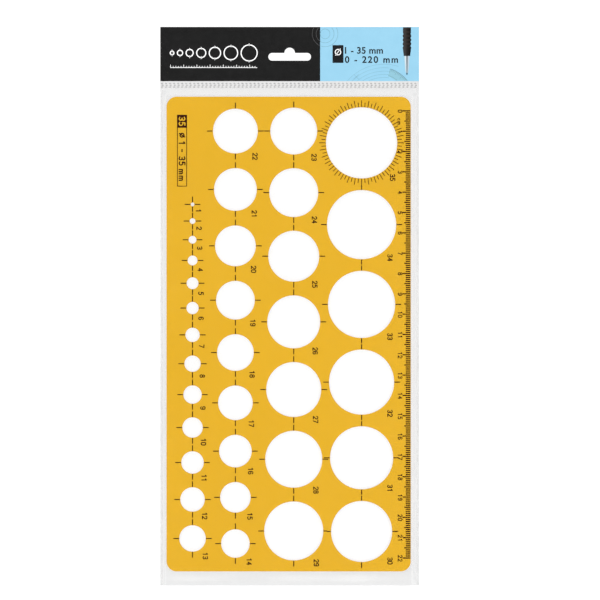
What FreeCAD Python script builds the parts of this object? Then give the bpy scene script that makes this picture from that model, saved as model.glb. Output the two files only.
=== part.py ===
"""A circle template in its clear header sleeve, lying on its back.

Millimetres. X runs across the width, with the ruler edge at +X. Y runs along the length,
with the sleeve's header at +Y and its open mouth at -Y. Z is up, out of the printed face.
The origin is the centre of the whole footprint, on the surface that the sleeve lies on.
"""

import FreeCAD, Part
import math
import os

os.makedirs("parts", exist_ok=True)

Vector = FreeCAD.Vector
UP = Vector(0, 0, 1)

# ---- Sleeve: a flat tube of clear film under a printed header -------------------------
SLEEVE_WIDTH = 127.4
SLEEVE_LENGTH = 275.0
HEADER_HEIGHT = 26.7
SEAL_HEIGHT = 3.4
FILM = 0.08
WELD_WIDTH = 1.0
WELD_THICKNESS = 0.24
SEAL_THICKNESS = 0.36
HEADER_PLY = 0.14
HEADER_PRINT = 0.02
BLACK_PANEL_SHARE = 0.618
SLOT_LENGTH = 21.0
SLOT_HEIGHT = 3.8
SLOT_RISE = 10.1
HUMP_RADIUS = 2.6

# ---- Template plate -------------------------------------------------------------------
PLATE_WIDTH = 120.2
PLATE_LENGTH = 233.6
PLATE_THICKNESS = 1.2
PLATE_CORNER = 5.0
EDGE_BREAK = 0.1
PLATE_LEFT_GAP = 3.1
PLATE_BOTTOM_GAP = 7.0
GAP_UNDER_PLATE = 0.2
GAP_OVER_PLATE = 0.2
FOLD_CLEARANCE = 0.4  # from the plate's edge to where the front film turns down

# ---- Circles: four columns, each with one web between neighbouring circles -------------
# first and last circle size, x from the plate's left edge, first centre below its top,
# web between nominal circles, and what is added to the web before the last circle
COLUMNS = (
    (1, 13, 12.8, 53.0, 6.7, 0.0),
    (22, 14, 33.9, 16.9, 7.25, 1.0),
    (23, 29, 62.6, 16.9, 6.8, 0.0),
    (35, 30, 96.0, 22.7, 5.75, 0.0),
)
SMALL_CIRCLE = 5
LEAD_ALLOWANCE = 0.8  # a pencil point needs this much more room in the small circles

# ---- Print ----------------------------------------------------------------------------
INK = 0.03
MARK_LENGTH = 2.95
MARK_WIDTH = 0.48
MARK_GAP = 0.5
RING_STEP = 5
RING_LONG = 3.4
RING_SHORT = 2.35
RING_WIDTH = 0.34
LEAST_MARK = 0.15  # a shorter share of a degree mark than this is left out
PRINT_REACH = 4.0  # print whose middle is nearer to the ring than this may cross its marks
RULER_CM = 22
RULER_TOP = 7.0
RULER_TICK_WIDTH = 0.58
RULER_MM_TICK = 2.35
RULER_5MM_TICK = 3.05
RULER_CM_TICK = 3.9
RULER_EDGE_GAP = 0.15
RULER_NUMERAL_INSET = 5.26
RULER_NUMERAL_DROP = 0.15  # a numeral's middle from its centimetre mark
RULER_UNIT_DROP = 5.2
RULER_UNIT_INSET = 5.5
RULER_NUMERAL = 2.32
UNIT_SIZE = 2.1
DIAMETER_NUMERAL = 2.7
DIAMETER_ADVANCE = 0.68  # from one digit to the next, as a share of their height
# for each column, how far a numeral stands right of its circle's centre and below it, each as
# a length and a share of the circle's radius to add
NUMERAL_PLACES = (
    (2.4, 0.6, 2.2, 0.97),
    (1.66, 0.73, 2.45, 0.91),
    (5.76, 0.37, 2.6, 0.9),
    (13.95, 0.0, 0.95, 0.9),
)
RING_NUMERAL_PLACE = (15.2, 17.05)  # the same two lengths for the circle with the degree ring
TITLE_LEFT = 5.2
TITLE_TOP = 8.9
TITLE_WIDTH = 4.9
TITLE_SOLID = 6.4
TITLE_LENGTH = 35.3
TITLE_LINE = 0.35
TITLE_NUMERAL = 3.4
TITLE_TEXT = 3.4

# ---- Modelling ------------------------------------------------------------------------
OVERSHOOT = 1.0  # how far a cutter runs past each face
FLAT = 1e-6  # an edge that rises less than this is level

# ---- Places worked out from the sizes above ---------------------------------------------
SLEEVE_LEFT = -SLEEVE_WIDTH / 2
SLEEVE_RIGHT = SLEEVE_WIDTH / 2
SLEEVE_BOTTOM = -SLEEVE_LENGTH / 2
SLEEVE_TOP = SLEEVE_LENGTH / 2
HEADER_BOTTOM = SLEEVE_TOP - HEADER_HEIGHT
SEAL_BOTTOM = HEADER_BOTTOM - SEAL_HEIGHT
SLOT_MIDDLE = HEADER_BOTTOM + SLOT_RISE + SLOT_HEIGHT / 2
PLATE_LEFT = SLEEVE_LEFT + PLATE_LEFT_GAP
PLATE_RIGHT = PLATE_LEFT + PLATE_WIDTH
PLATE_BOTTOM = SLEEVE_BOTTOM + PLATE_BOTTOM_GAP
PLATE_TOP = PLATE_BOTTOM + PLATE_LENGTH
PLATE_Z = FILM + GAP_UNDER_PLATE
INK_Z = PLATE_Z + PLATE_THICKNESS
POCKET_TOP = INK_Z + INK + GAP_OVER_PLATE


def box(x0, x1, y0, y1, z0, z1):
    return Part.makeBox(x1 - x0, y1 - y0, z1 - z0, Vector(x0, y0, z0))


def save(name, *shapes):
    """One sub-part, as one solid or as a group of separate solids."""
    solids = [s for shape in shapes for s in shape.Solids]
    for s in solids:
        assert s.isValid(), name
    whole = solids[0] if len(solids) == 1 else Part.makeCompound(solids)
    whole.exportStep("parts/" + name + ".step")
    b = whole.BoundBox
    print(
        f"{name:26s} {len(solids):4d} solids {whole.Volume:10.2f} mm3  "
        f"x {b.XMin:.2f}..{b.XMax:.2f}  y {b.YMin:.2f}..{b.YMax:.2f}  z {b.ZMin:.2f}..{b.ZMax:.2f}"
    )


# ---- Circles ----------------------------------------------------------------------------
def circles():
    """(size, hole radius, centre) of every circle, column by column."""
    found = []
    for first, last, x, drop, web, last_extra in COLUMNS:
        step = 1 if last > first else -1
        for size in range(first, last + step, step):
            if size != first:
                drop += (size + size - step) / 2 + web
            if size == last:
                drop += last_extra
            hole = size + (LEAD_ALLOWANCE if size <= SMALL_CIRCLE else 0)
            found.append((size, hole / 2, Vector(PLATE_LEFT + x, PLATE_TOP - drop, 0)))
    return found


CIRCLES = circles()
RING_SIZE = max(size for size, _, _ in CIRCLES)


def plate():
    body = box(PLATE_LEFT, PLATE_RIGHT, PLATE_BOTTOM, PLATE_TOP, PLATE_Z, INK_Z)
    upright = [e for e in body.Edges if e.BoundBox.ZLength > FLAT]
    body = body.makeFillet(PLATE_CORNER, upright)
    holes = [
        Part.makeCylinder(r, PLATE_THICKNESS + 2 * OVERSHOOT, centre + UP * (PLATE_Z - OVERSHOOT))
        for _, r, centre in CIRCLES
    ]
    body = body.cut(Part.makeCompound(holes))
    rims = [e for e in body.Edges if e.BoundBox.ZLength < FLAT]
    return body.makeChamfer(EDGE_BREAK, rims)


# ---- Ink marks --------------------------------------------------------------------------
def radial_mark(centre, angle, start, length, width):
    """A straight mark that points away from a circle's centre."""
    mark = Part.makeBox(length, width, INK, Vector(start, -width / 2, INK_Z))
    mark.rotate(Vector(), UP, angle)
    mark.translate(centre)
    return mark


def centre_marks():
    """Four marks round each circle, in line with its centre. Marks in one column stop short
    of each other, marks in one row meet, and the degree ring stands in for its own circle's."""
    marks = []
    for size, r, centre in CIRCLES:
        if size == RING_SIZE:
            continue
        for angle in (0, 90, 180, 270):
            away = Vector(math.cos(math.radians(angle)), math.sin(math.radians(angle)), 0)
            gap = MARK_GAP if angle in (90, 270) else 0
            length = MARK_LENGTH
            for other, other_r, other_centre in CIRCLES:
                along = (other_centre - centre).dot(away)
                aside = (other_centre - centre - away * along).Length
                if along <= 0 or aside > MARK_WIDTH:
                    continue
                web = along - r - other_r
                half = web - RING_LONG if other == RING_SIZE else (web - gap) / 2
                length = min(length, half)
            start = r + EDGE_BREAK
            marks.append(radial_mark(centre, angle, start, length - EDGE_BREAK, MARK_WIDTH))
    return marks


def degree_ring(other_print):
    """Marks every few degrees round the largest circle, long and short in turn, broken off
    where other print crosses them."""
    _, r, centre = next(c for c in CIRCLES if c[0] == RING_SIZE)
    reach = r + RING_LONG
    near = [s for s in other_print if centre.distanceToPoint(flat_centre(s)) < reach + PRINT_REACH]
    crossing = Part.makeCompound(near)
    marks = []
    for n in range(360 // RING_STEP):
        length = RING_SHORT if n % 2 else RING_LONG
        start = r + EDGE_BREAK
        mark = radial_mark(centre, n * RING_STEP, start, length - EDGE_BREAK, RING_WIDTH)
        marks += [s for s in mark.cut(crossing).Solids if s.Volume > LEAST_MARK * mark.Volume]
    return marks


def flat_centre(shape):
    middle = shape.BoundBox.Center
    return Vector(middle.x, middle.y, 0)


def ruler_y(mm):
    return PLATE_TOP - RULER_TOP - mm


def ruler_ticks():
    ticks = []
    right = PLATE_RIGHT - RULER_EDGE_GAP
    for mm in range(RULER_CM * 10 + 1):
        length = RULER_MM_TICK
        if mm % 5 == 0:
            length = RULER_5MM_TICK
        if mm % 10 == 0:
            length = RULER_CM_TICK
        y = ruler_y(mm)
        half = RULER_TICK_WIDTH / 2
        ticks.append(box(right - length, right, y - half, y + half, INK_Z, INK_Z + INK))
    return ticks


# ---- Numerals: strokes of one width with round ends, one unit tall -----------------------
STROKE = 0.175
TALL = 1 - STROKE
BOWL = 0.23
WIDE = 2 * BOWL
ADVANCE = 0.76

# ("bar", x0, y0, x1, y1) is a straight stroke, and ("arc", x, y, radius, from, to) a round
# one, anticlockwise in degrees. x runs from 0 to WIDE and y from 0 to TALL.
GLYPHS = {
    "0": (
        ("bar", 0, BOWL, 0, TALL - BOWL),
        ("bar", WIDE, BOWL, WIDE, TALL - BOWL),
        ("arc", BOWL, TALL - BOWL, BOWL, 0, 180),
        ("arc", BOWL, BOWL, BOWL, 180, 360),
    ),
    "1": (("bar", 0.28, 0, 0.28, TALL), ("bar", 0.28, TALL, 0.1, TALL - 0.16)),
    "2": (
        ("arc", BOWL, TALL - BOWL, BOWL, -38, 170),
        ("bar", BOWL + BOWL * 0.788, TALL - BOWL - BOWL * 0.616, 0, 0),
        ("bar", 0, 0, WIDE, 0),
    ),
    "3": (
        ("bar", 0.03, TALL - 0.08, WIDE - TALL / 4, TALL),
        ("arc", WIDE - TALL / 4, TALL * 0.75, TALL / 4, -90, 90),
        ("bar", 0.16, TALL / 2, WIDE - TALL / 4, TALL / 2),
        ("arc", WIDE - TALL / 4, TALL * 0.25, TALL / 4, -90, 90),
        ("bar", 0.03, 0.08, WIDE - TALL / 4, 0),
    ),
    "4": (
        ("bar", 0.35, 0, 0.35, TALL),
        ("bar", 0.35, TALL, 0, 0.24),
        ("bar", 0, 0.24, WIDE, 0.24),
    ),
    "5": (
        ("bar", 0.42, TALL, 0.07, TALL),
        ("bar", 0.07, TALL, 0.04, 0.44),
        ("arc", 0.19, 0.26, 0.26, -140, 130),
    ),
    "6": (
        ("arc", BOWL, BOWL, BOWL, 0, 360),
        ("bar", 0, BOWL, 0, TALL - BOWL),
        ("arc", BOWL, TALL - BOWL, BOWL, 30, 180),
    ),
    "7": (("bar", 0, TALL, WIDE, TALL), ("bar", WIDE, TALL, 0.14, 0)),
    "8": (
        ("arc", BOWL, BOWL, BOWL, 0, 360),
        ("arc", BOWL, TALL - 0.2, 0.2, 0, 360),
    ),
    "9": (
        ("arc", BOWL, TALL - BOWL, BOWL, 0, 360),
        ("bar", WIDE, BOWL, WIDE, TALL - BOWL),
        ("arc", BOWL, BOWL, BOWL, 210, 360),
    ),
    "-": (("bar", 0.08, TALL / 2, WIDE - 0.08, TALL / 2),),
    "o": (
        ("arc", BOWL, TALL / 2, BOWL * 1.2, 0, 360),
        ("bar", -0.02, 0.05, WIDE + 0.02, TALL - 0.05),
    ),
    "c": (("arc", BOWL, BOWL, BOWL, 50, 310),),
    "m": (
        ("bar", 0, 0, 0, 0.46),
        ("bar", 0.3, 0, 0.3, 0.31),
        ("bar", 0.6, 0, 0.6, 0.31),
        ("arc", 0.15, 0.31, 0.15, 0, 180),
        ("arc", 0.45, 0.31, 0.15, 0, 180),
    ),
}
WIDTHS = {"m": 0.95, " ": 0.35}


def stroke_end(x, y, radius):
    return Part.makeCylinder(radius, INK, Vector(x, y, 0))


def bar_stroke(x0, y0, x1, y1, width):
    length = math.hypot(x1 - x0, y1 - y0)
    bar = Part.makeBox(length, width, INK, Vector(0, -width / 2, 0))
    bar.rotate(Vector(), UP, math.degrees(math.atan2(y1 - y0, x1 - x0)))
    bar.translate(Vector(x0, y0, 0))
    ends = [stroke_end(x0, y0, width / 2), stroke_end(x1, y1, width / 2)]
    return [bar] + ends


def arc_stroke(x, y, radius, start, stop, width):
    outer = Part.makeCylinder(radius + width / 2, INK, Vector(), UP, stop - start)
    band = outer.cut(Part.makeCylinder(radius - width / 2, INK))
    band.rotate(Vector(), UP, start)
    band.translate(Vector(x, y, 0))
    if stop - start >= 360:
        return [band]
    ends = []
    for angle in (math.radians(start), math.radians(stop)):
        end_x = x + radius * math.cos(angle)
        end_y = y + radius * math.sin(angle)
        ends.append(stroke_end(end_x, end_y, width / 2))
    return [band] + ends


def glyph(character, height):
    """One character standing on the X axis, as one solid INK thick."""
    width = STROKE * height
    pieces = []
    for kind, *numbers in GLYPHS[character]:
        if kind == "bar":
            pieces += bar_stroke(*(n * height for n in numbers), width)
        else:
            x, y, radius, start, stop = numbers
            pieces += arc_stroke(x * height, y * height, radius * height, start, stop, width)
    whole = pieces[0].fuse(pieces[1:]).removeSplitter()
    whole.translate(Vector(width / 2, width / 2, 0))
    return whole.Solids[0]


DRAWN = {}


def text(words, height, x, y, advance=ADVANCE):
    """Characters centred on (x, y) that read down the plate, with their tops towards +X."""
    widths = [WIDTHS.get(c, advance) * height for c in words]
    start = -(sum(widths) - (advance - WIDE - STROKE) * height) / 2
    placed = []
    for character, width in zip(words, widths):
        if character != " ":
            if (character, height) not in DRAWN:
                DRAWN[character, height] = glyph(character, height)
            one = DRAWN[character, height].copy()
            one.translate(Vector(start, -height / 2, 0))
            one.rotate(Vector(), UP, -90)
            one.translate(Vector(x, y, INK_Z))
            placed.append(one)
        start += width
    return placed


def numeral_place(size, r):
    """How far a circle's numeral stands right of its centre, and how far below it."""
    if size == RING_SIZE:
        return RING_NUMERAL_PLACE
    ends = [sorted(column[:2]) for column in COLUMNS]
    column = next(n for n, (least, most) in enumerate(ends) if least <= size <= most)
    aside, aside_share, drop, drop_share = NUMERAL_PLACES[column]
    return aside + aside_share * r, drop + drop_share * r


def diameter_numerals():
    """Each circle's size in millimetres, below it and to its right."""
    placed = []
    for size, r, centre in CIRCLES:
        aside, drop = numeral_place(size, r)
        x = centre.x + aside
        y = centre.y - drop
        placed += text(str(size), DIAMETER_NUMERAL, x, y, DIAMETER_ADVANCE)
    return placed


def ruler_numerals():
    x = PLATE_RIGHT - RULER_NUMERAL_INSET
    placed = []
    for cm in range(RULER_CM + 1):
        placed += text(str(cm), RULER_NUMERAL, x, ruler_y(cm * 10) - RULER_NUMERAL_DROP)
    return placed + text("cm", UNIT_SIZE, PLATE_RIGHT - RULER_UNIT_INSET, ruler_y(RULER_UNIT_DROP))


def title_block():
    """A solid panel with the largest size left clear in it, and an outlined panel with the
    range of sizes."""
    x0 = PLATE_LEFT + TITLE_LEFT
    x1 = x0 + TITLE_WIDTH
    top = PLATE_TOP - TITLE_TOP
    split = top - TITLE_SOLID
    bottom = top - TITLE_LENGTH
    middle = (x0 + x1) / 2
    frame = box(x0, x1, bottom, top, INK_Z, INK_Z + INK)
    line = TITLE_LINE
    window = box(x0 + line, x1 - line, bottom + line, split, INK_Z, INK_Z + INK)
    clear = text(str(RING_SIZE), TITLE_NUMERAL, middle, (top + split) / 2)
    panel = frame.cut([window] + clear)
    words = "o 1 - " + str(RING_SIZE) + " mm"
    return panel.Solids + text(words, TITLE_TEXT, middle, (split + bottom) / 2)


# ---- Sleeve -----------------------------------------------------------------------------
def slot(z0, z1):
    """The hanging slot: a round-ended slot with a round hump over its middle."""
    half = SLOT_HEIGHT / 2
    ends = SLOT_LENGTH / 2 - half
    tall = z1 - z0
    pieces = [
        Part.makeCylinder(half, tall, Vector(-ends, SLOT_MIDDLE, z0)),
        Part.makeCylinder(half, tall, Vector(ends, SLOT_MIDDLE, z0)),
        Part.makeCylinder(HUMP_RADIUS, tall, Vector(0, SLOT_MIDDLE + half, z0)),
    ]
    return box(-ends, ends, SLOT_MIDDLE - half, SLOT_MIDDLE + half, z0, z1).fuse(pieces)


def header_sheet(x0, x1, z0, z1):
    sheet = box(x0, x1, HEADER_BOTTOM, SLEEVE_TOP, z0, z1)
    return sheet.cut(slot(z0 - OVERSHOOT, z1 + OVERSHOOT))


def front_film():
    """The front of the tube: flat over the plate, sloping down to the welds and the seal,
    and open at the mouth."""
    x0 = SLEEVE_LEFT + WELD_WIDTH
    x1 = SLEEVE_RIGHT - WELD_WIDTH
    foot = WELD_THICKNESS - FILM
    over_x0 = PLATE_LEFT - FOLD_CLEARANCE
    over_x1 = PLATE_RIGHT + FOLD_CLEARANCE
    over_y1 = PLATE_TOP + FOLD_CLEARANCE
    foot_left = [Vector(x0, SLEEVE_BOTTOM, foot), Vector(x0, SEAL_BOTTOM, foot)]
    foot_right = [Vector(x1, SLEEVE_BOTTOM, foot), Vector(x1, SEAL_BOTTOM, foot)]
    over_left = [Vector(over_x0, SLEEVE_BOTTOM, POCKET_TOP), Vector(over_x0, over_y1, POCKET_TOP)]
    over_right = [Vector(over_x1, SLEEVE_BOTTOM, POCKET_TOP), Vector(over_x1, over_y1, POCKET_TOP)]
    panels = [
        over_left + over_right[::-1],
        foot_left + over_left[::-1],
        foot_right + over_right[::-1],
        [foot_left[1], over_left[1], over_right[1], foot_right[1]],
    ]
    solids = [
        Part.Face(Part.makePolygon(corners + corners[:1])).extrude(UP * FILM)
        for corners in panels
    ]
    return solids[0].fuse(solids[1:]).removeSplitter()


INNER_LEFT = SLEEVE_LEFT + WELD_WIDTH
INNER_RIGHT = SLEEVE_RIGHT - WELD_WIDTH
PANEL_SPLIT = SLEEVE_LEFT + BLACK_PANEL_SHARE * SLEEVE_WIDTH
PRINT_Z = 2 * HEADER_PLY

save("back_film", box(INNER_LEFT, INNER_RIGHT, SLEEVE_BOTTOM, SEAL_BOTTOM, 0, FILM))
save("front_film", front_film())
save("left_side_weld", box(SLEEVE_LEFT, INNER_LEFT, SLEEVE_BOTTOM, SEAL_BOTTOM, 0, WELD_THICKNESS))
save("right_side_weld", box(INNER_RIGHT, SLEEVE_RIGHT, SLEEVE_BOTTOM, SEAL_BOTTOM, 0, WELD_THICKNESS))
save("seal_band", box(SLEEVE_LEFT, SLEEVE_RIGHT, SEAL_BOTTOM, HEADER_BOTTOM, 0, SEAL_THICKNESS))
save("header_back", header_sheet(SLEEVE_LEFT, SLEEVE_RIGHT, 0, HEADER_PLY))
save("header_front", header_sheet(SLEEVE_LEFT, SLEEVE_RIGHT, HEADER_PLY, PRINT_Z))
save("header_black_panel", header_sheet(SLEEVE_LEFT, PANEL_SPLIT, PRINT_Z, PRINT_Z + HEADER_PRINT))
save("header_blue_panel", header_sheet(PANEL_SPLIT, SLEEVE_RIGHT, PRINT_Z, PRINT_Z + HEADER_PRINT))

save("template_plate", plate())
CENTRE_MARKS = centre_marks()
RULER_TICKS = ruler_ticks()
RULER_NUMERALS = ruler_numerals()
DIAMETER_NUMERALS = diameter_numerals()
save("centre_marks_print", *CENTRE_MARKS)
save("ruler_ticks_print", *RULER_TICKS)
save("ruler_numerals_print", *RULER_NUMERALS)
save("diameter_numerals_print", *DIAMETER_NUMERALS)
save("degree_ring_print", *degree_ring(CENTRE_MARKS + RULER_TICKS + RULER_NUMERALS + DIAMETER_NUMERALS))
save("title_block_print", *title_block())
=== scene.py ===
import math

import bmesh
import bpy
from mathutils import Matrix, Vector, noise


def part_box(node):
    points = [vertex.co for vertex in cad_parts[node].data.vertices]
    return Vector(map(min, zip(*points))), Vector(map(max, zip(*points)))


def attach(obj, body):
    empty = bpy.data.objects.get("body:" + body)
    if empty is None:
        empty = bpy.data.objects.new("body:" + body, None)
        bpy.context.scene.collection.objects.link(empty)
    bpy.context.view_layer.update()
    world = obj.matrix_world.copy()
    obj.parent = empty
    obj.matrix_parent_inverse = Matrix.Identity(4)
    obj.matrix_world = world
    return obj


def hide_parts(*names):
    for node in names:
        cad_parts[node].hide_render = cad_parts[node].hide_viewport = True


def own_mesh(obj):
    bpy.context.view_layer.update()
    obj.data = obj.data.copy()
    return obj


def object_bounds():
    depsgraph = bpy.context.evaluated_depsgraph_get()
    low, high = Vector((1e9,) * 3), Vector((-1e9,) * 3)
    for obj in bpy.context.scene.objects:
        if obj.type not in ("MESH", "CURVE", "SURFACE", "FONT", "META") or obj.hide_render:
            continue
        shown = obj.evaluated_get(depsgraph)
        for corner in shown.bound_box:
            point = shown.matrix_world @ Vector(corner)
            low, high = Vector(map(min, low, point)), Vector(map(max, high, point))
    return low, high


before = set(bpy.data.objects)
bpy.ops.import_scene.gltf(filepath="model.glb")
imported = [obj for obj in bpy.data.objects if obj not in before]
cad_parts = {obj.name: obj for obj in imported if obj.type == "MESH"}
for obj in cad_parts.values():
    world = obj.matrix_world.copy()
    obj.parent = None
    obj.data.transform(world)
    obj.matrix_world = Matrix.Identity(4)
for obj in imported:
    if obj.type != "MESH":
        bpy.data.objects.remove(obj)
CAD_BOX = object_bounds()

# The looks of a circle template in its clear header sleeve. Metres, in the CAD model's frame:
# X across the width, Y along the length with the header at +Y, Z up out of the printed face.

MM = 0.001
SLEEVE = "sleeve"
TEMPLATE = "template"

# ---- Boxes of the CAD pieces that the looks are built on --------------------------------------
PLATE_LOW, PLATE_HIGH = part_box("template_plate")
FILM_LOW, FILM_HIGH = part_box("front_film")
BACK_LOW, BACK_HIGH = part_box("back_film")
SEAL_LOW, SEAL_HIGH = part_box("seal_band")
HEADER_LOW, HEADER_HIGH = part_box("header_black_panel")
BLUE_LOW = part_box("header_blue_panel")[0]
WELD_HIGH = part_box("left_side_weld")[1].z

# ---- Plate ------------------------------------------------------------------------------------
EDGE_ROUND = 0.1 * MM
EDGE_STEPS = 3
PLATE_CORNER = 5 * MM
CORNER_STEPS = 20
HOLE_CHORD = 0.35 * MM  # about the length of one side of a hole's outline
LEAST_SIDES = 48
SAME_PLACE = 1e-6  # points nearer than this are one point
LEVEL_NORMAL = 0.99  # a face whose normal's height is more than this lies flat

# ---- Film -------------------------------------------------------------------------------------
FILM = 0.08 * MM  # its thickness
FOLD_CLEARANCE = 0.4 * MM  # from the plate's edge to where the film starts down to its weld
FILM_STEP = 1.0 * MM
FILM_FINE_STEP = 0.25 * MM
STEP_ROUNDING = 1e-9
SLOPE_CURVE = 1.25  # 1 is a straight slope from the plate to the weld, and more is a rounder one
MOUTH_DROOP = 0.45 * MM
SAG_LEAST = 7 * MM  # the film sags into holes of a larger radius
SAG = 0.008  # of the hole's radius

# Waves: (height, length across, length along, seed)
SLACK_WAVES = ((0.055 * MM, 11 * MM, 70 * MM, 3.1), (0.075 * MM, 34 * MM, 38 * MM, 7.7))
SEAL_PULLS = (0.07 * MM, 5 * MM, 60 * MM, 12.3)
SEAL_PULL_REACH = 26 * MM
MOUTH_WAVES = (0.3 * MM, 26 * MM, 1.0, 5.5)
BACK_WAVES = (0.012 * MM, 24 * MM, 60 * MM, 21.4)

FILM_GLOSS = 0.04  # the share of light that the film reflects face on
FILM_GRAZING_GLOSS = 0.9  # and at a grazing angle
FILM_GLOSS_POWER = 5.0  # how late the gloss grows between the two
FILM_ROUGHNESS = 0.08
FILM_CLEAR = 0.992  # the share of light that comes through the film where it clings
FILM_SHADED_CLEAR = 0.853  # and where painted shade greys it: in the margins, where it hangs slack
FILM_SHADE_HEIGHTS = (0.6 * MM, 1.2 * MM)  # painted shade: below the first height the film is shaded, above the second it clings and stays clear
FILM_PLATE_EDGE = (-0.1 * MM, 0.3 * MM)  # the stretch over the plate's edge where the painted margin shade comes in
FILM_CLOUD = 0.007  # how uneven the painted margin shade is
BACK_CLOUD = 0.001
FILM_SEAL_SHADE = 0.0294  # painted shade: how much less light comes through the film by the seal
FILM_SEAL_SHADE_RISE = 0.5 * MM


def smooth(t):
    t = min(1.0, max(0.0, t))
    return t * t * (3 - 2 * t)


def mesh_object(name, points, faces, smooth_faces=False):
    mesh = bpy.data.meshes.new(name)
    mesh.from_pydata([tuple(p) for p in points], [], faces)
    mesh.validate()
    mesh.update()
    for polygon in mesh.polygons:
        polygon.use_smooth = smooth_faces
    piece = bpy.data.objects.new(name, mesh)
    bpy.context.scene.collection.objects.link(piece)
    return piece


def finished(piece, body, material, slot, *replaced):
    """Gives a piece its material and its body, and hides the CAD nodes that it stands for. The slot is not
    used.
    """
    piece.data.materials.append(material)
    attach(piece, body)
    if replaced:
        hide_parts(*replaced)
    return piece


# ---- Shader helpers ---------------------------------------------------------------------------
NOISE_SPAN = (0.3, 0.7)  # most of a noise's values lie between these


def fill_ramp(ramp, stops):
    """Gives a colour ramp its stops, each a place and a colour."""
    while len(ramp.elements) < len(stops):
        ramp.elements.new(0.5)
    for element, (at, colour) in zip(ramp.elements, stops):
        element.position = at
        element.color = (*colour, 1.0)


def grey(level):
    return (level, level, level)


class Shader:
    """A material with a Principled shader, and short names for the nodes that feed it."""

    def __init__(self, name, **sockets):
        self.material = bpy.data.materials.new(name)
        self.material.use_nodes = True
        self.tree = self.material.node_tree
        self.principled = self.tree.nodes["Principled BSDF"]
        self.output = self.tree.nodes["Material Output"]
        for socket, value in sockets.items():
            self.principled.inputs[socket.replace("_", " ")].default_value = value
        self.place = self.node("ShaderNodeTexCoord").outputs["Object"]

    def node(self, kind, **settings):
        made = self.tree.nodes.new(kind)
        for name, value in settings.items():
            setattr(made, name, value)
        return made

    def link(self, output, target):
        self.tree.links.new(output, target)

    def feed(self, socket, output):
        self.link(output, self.principled.inputs[socket])

    def scaled(self, x, y, z):
        """The object's own coordinates, stretched."""
        mapping = self.node("ShaderNodeMapping")
        mapping.inputs["Scale"].default_value = (x, y, z)
        self.link(self.place, mapping.inputs["Vector"])
        return mapping.outputs["Vector"]

    def noise(self, scale, detail, place=None):
        made = self.node("ShaderNodeTexNoise")
        made.inputs["Scale"].default_value = scale
        made.inputs["Detail"].default_value = detail
        self.link(place or self.place, made.inputs["Vector"])
        return made.outputs["Fac"]

    def ramp(self, value, *stops):
        made = self.node("ShaderNodeValToRGB")
        fill_ramp(made.color_ramp, stops)
        self.link(value, made.inputs["Fac"])
        return made.outputs["Color"]

    def span(self, value, low, high, to_low, to_high):
        """A value carried from one range to another, and held at its ends."""
        made = self.node("ShaderNodeMapRange", clamp=True)
        limits = {"From Min": low, "From Max": high, "To Min": to_low, "To Max": to_high}
        for socket, number in limits.items():
            made.inputs[socket].default_value = number
        self.link(value, made.inputs["Value"])
        return made.outputs["Result"]

    def mottled(self, low, high, scale, detail):
        """A colour that wanders from one to another."""
        return self.ramp(self.noise(scale, detail), *zip(NOISE_SPAN, (low, high)))

    def uneven(self, low, high, scale, detail):
        """A number that wanders from one to another."""
        return self.span(self.noise(scale, detail), *NOISE_SPAN, low, high)

    def math(self, operation, first, second=None):
        made = self.node("ShaderNodeMath", operation=operation)
        for socket, value in zip(made.inputs, (first, second)):
            if isinstance(value, (int, float)):
                socket.default_value = value
            elif value is not None:
                self.link(value, socket)
        return made.outputs["Value"]

    def mix(self, factor, first, second):
        """One colour or the other, by a factor from 0 to 1."""
        made = self.node("ShaderNodeMix", data_type="RGBA")
        self.link(factor, made.inputs["Factor"])
        for socket, colour in zip((made.inputs[6], made.inputs[7]), (first, second)):
            if isinstance(colour, tuple):
                socket.default_value = (*colour, 1.0)
            else:
                self.link(colour, socket)
        return made.outputs[2]

    def bumps(self, height, strength, distance):
        """The normal of a surface with small bumps."""
        made = self.node("ShaderNodeBump")
        made.inputs["Strength"].default_value = strength
        made.inputs["Distance"].default_value = distance
        self.link(height, made.inputs["Height"])
        return made.outputs["Normal"]

    def axes(self):
        made = self.node("ShaderNodeSeparateXYZ")
        self.link(self.place, made.inputs["Vector"])
        return made.outputs["X"], made.outputs["Y"], made.outputs["Z"]


# ---- Materials --------------------------------------------------------------------------------
AMBER_DEEP = (0.78, 0.452, 0.0205)
AMBER_PALE = (0.8, 0.468, 0.0232)
AMBER_EDGE_SHADE = (0.72, 0.34, 0.012)
AMBER_TURN = (0.2, 0.9)  # the height of the normal in the painted edge shade's colour, and in the face's
AMBER_ROUGHNESS = (0.16, 0.24)
SCRATCH_SPAN = (0.2, 0.42)
INK_THICK = (0.024, 0.0022, 0.0003)
INK_THIN = (0.031, 0.0032, 0.0006)
WELD_GREYS = (grey(0.54), grey(0.6))
SEAL_WHITE = grey(0.64)
# painted shade on the crimp's raised marks
SEAL_MARK_SHADE = grey(0.3)
SEAL_BLEACH = (0.66, 0.65, 0.65)  # mixed in unevenly
SEAL_BLEACH_MOST = 0.15
SEAL_SHADE = (0.11 * MM, 0.02 * MM)  # below the band's top: where the painted shade on the marks starts and ends
PRINT_ROUGHNESS = (0.15, 0.2)


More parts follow.
